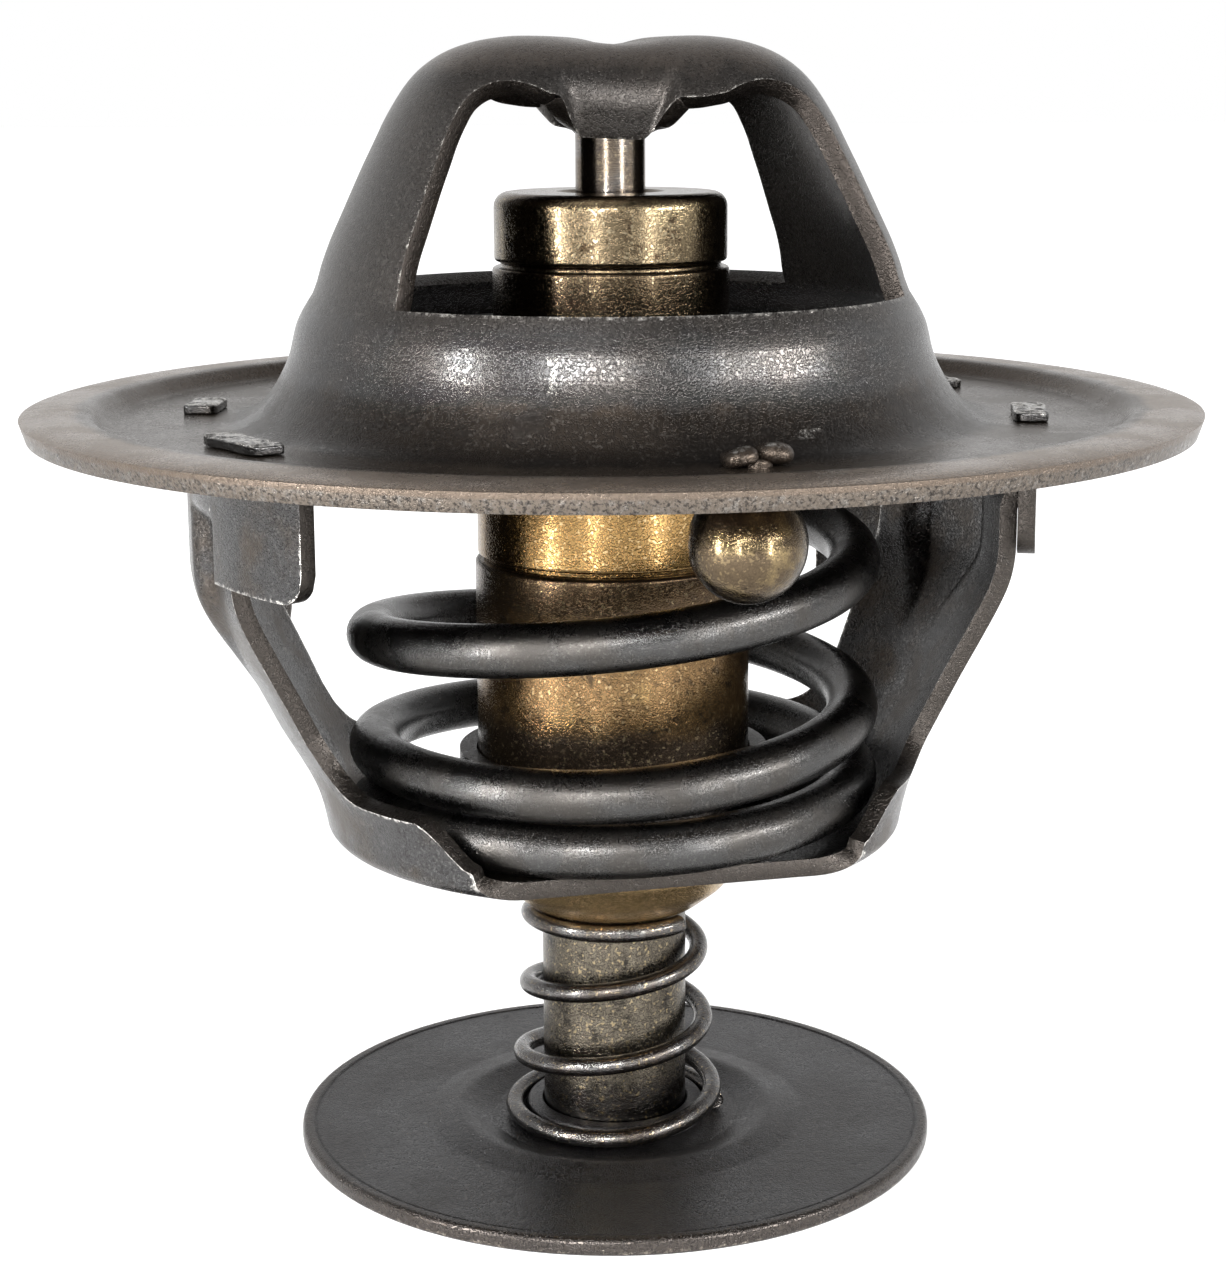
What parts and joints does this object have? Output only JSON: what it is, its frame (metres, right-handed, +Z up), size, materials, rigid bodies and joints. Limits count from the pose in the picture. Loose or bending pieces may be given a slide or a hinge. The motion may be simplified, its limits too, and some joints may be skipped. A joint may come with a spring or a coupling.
{
  "type": "engine thermostat",
  "caption": "Wax-element coolant valve for an engine: pressed flange with bridge and collar, sprung main valve in a cage, and a sprung bypass disc on a stem below.",
  "frame": {"origin": "on the valve axis, in the plane that the bypass disc stands on", "axes": "+Z up the valve axis towards the bridge, -Y towards the viewer of the picture, +X to that viewer's right"},
  "size_m": [0.067, 0.067, 0.0649],
  "materials": {
    "dark_steel": "drawn steel, gunmetal with brown patina",
    "cage_steel": "pressed steel, dark with worn bright edges",
    "spring_steel": "oil-hardened spring wire, dark satin",
    "polished_steel": "ground and polished pin",
    "brass": "turned brass, stained",
    "dull_brass": "dull aged brass",
    "disc_steel": "charcoal matte steel",
    "black_rubber": "heat-proof rubber",
    "wax": "copper-filled wax"
  },
  "bodies": {
    "frame": {"upper_frame": "dark_steel", "lower_frame": "cage_steel", "piston": "polished_steel", "main_spring": "spring_steel"},
    "element": {"seal_cap": "brass", "piston_seal": "black_rubber", "guide_body": "brass", "wax_cup": "brass", "rubber_boot": "black_rubber", "boot_washer": "polished_steel", "wax_charge": "wax", "valve_plate": "dark_steel", "valve_seal": "black_rubber", "plate_ring": "polished_steel", "bypass_stem": "dull_brass", "stem_clip": "spring_steel", "bypass_spring": "spring_steel"},
    "bypass_valve": {"bypass_disc": "disc_steel"},
    "bleed_valve": {"bleed_ball": "brass", "bleed_pin": "dark_steel"}
  },
  "joints": [
    {"name": "valve_travel", "type": "slide", "parent": "frame", "child": "element", "axis": [0, 0, -1], "range_m": [0, 0.008], "stiffness_N_per_m": 6000, "springref_m": -0.01, "deforming": ["main_spring"]},
    {"name": "bypass_lift", "type": "slide", "parent": "element", "child": "bypass_valve", "axis": [0, 0, 1], "range_m": [0, 0.006], "stiffness_N_per_m": 1500, "springref_m": -0.005, "deforming": ["bypass_spring"]},
    {"name": "bleed_lift", "type": "slide", "parent": "frame", "child": "bleed_valve", "axis": [0, 0, 1], "range_m": [0, 0.00035]}
  ]
}
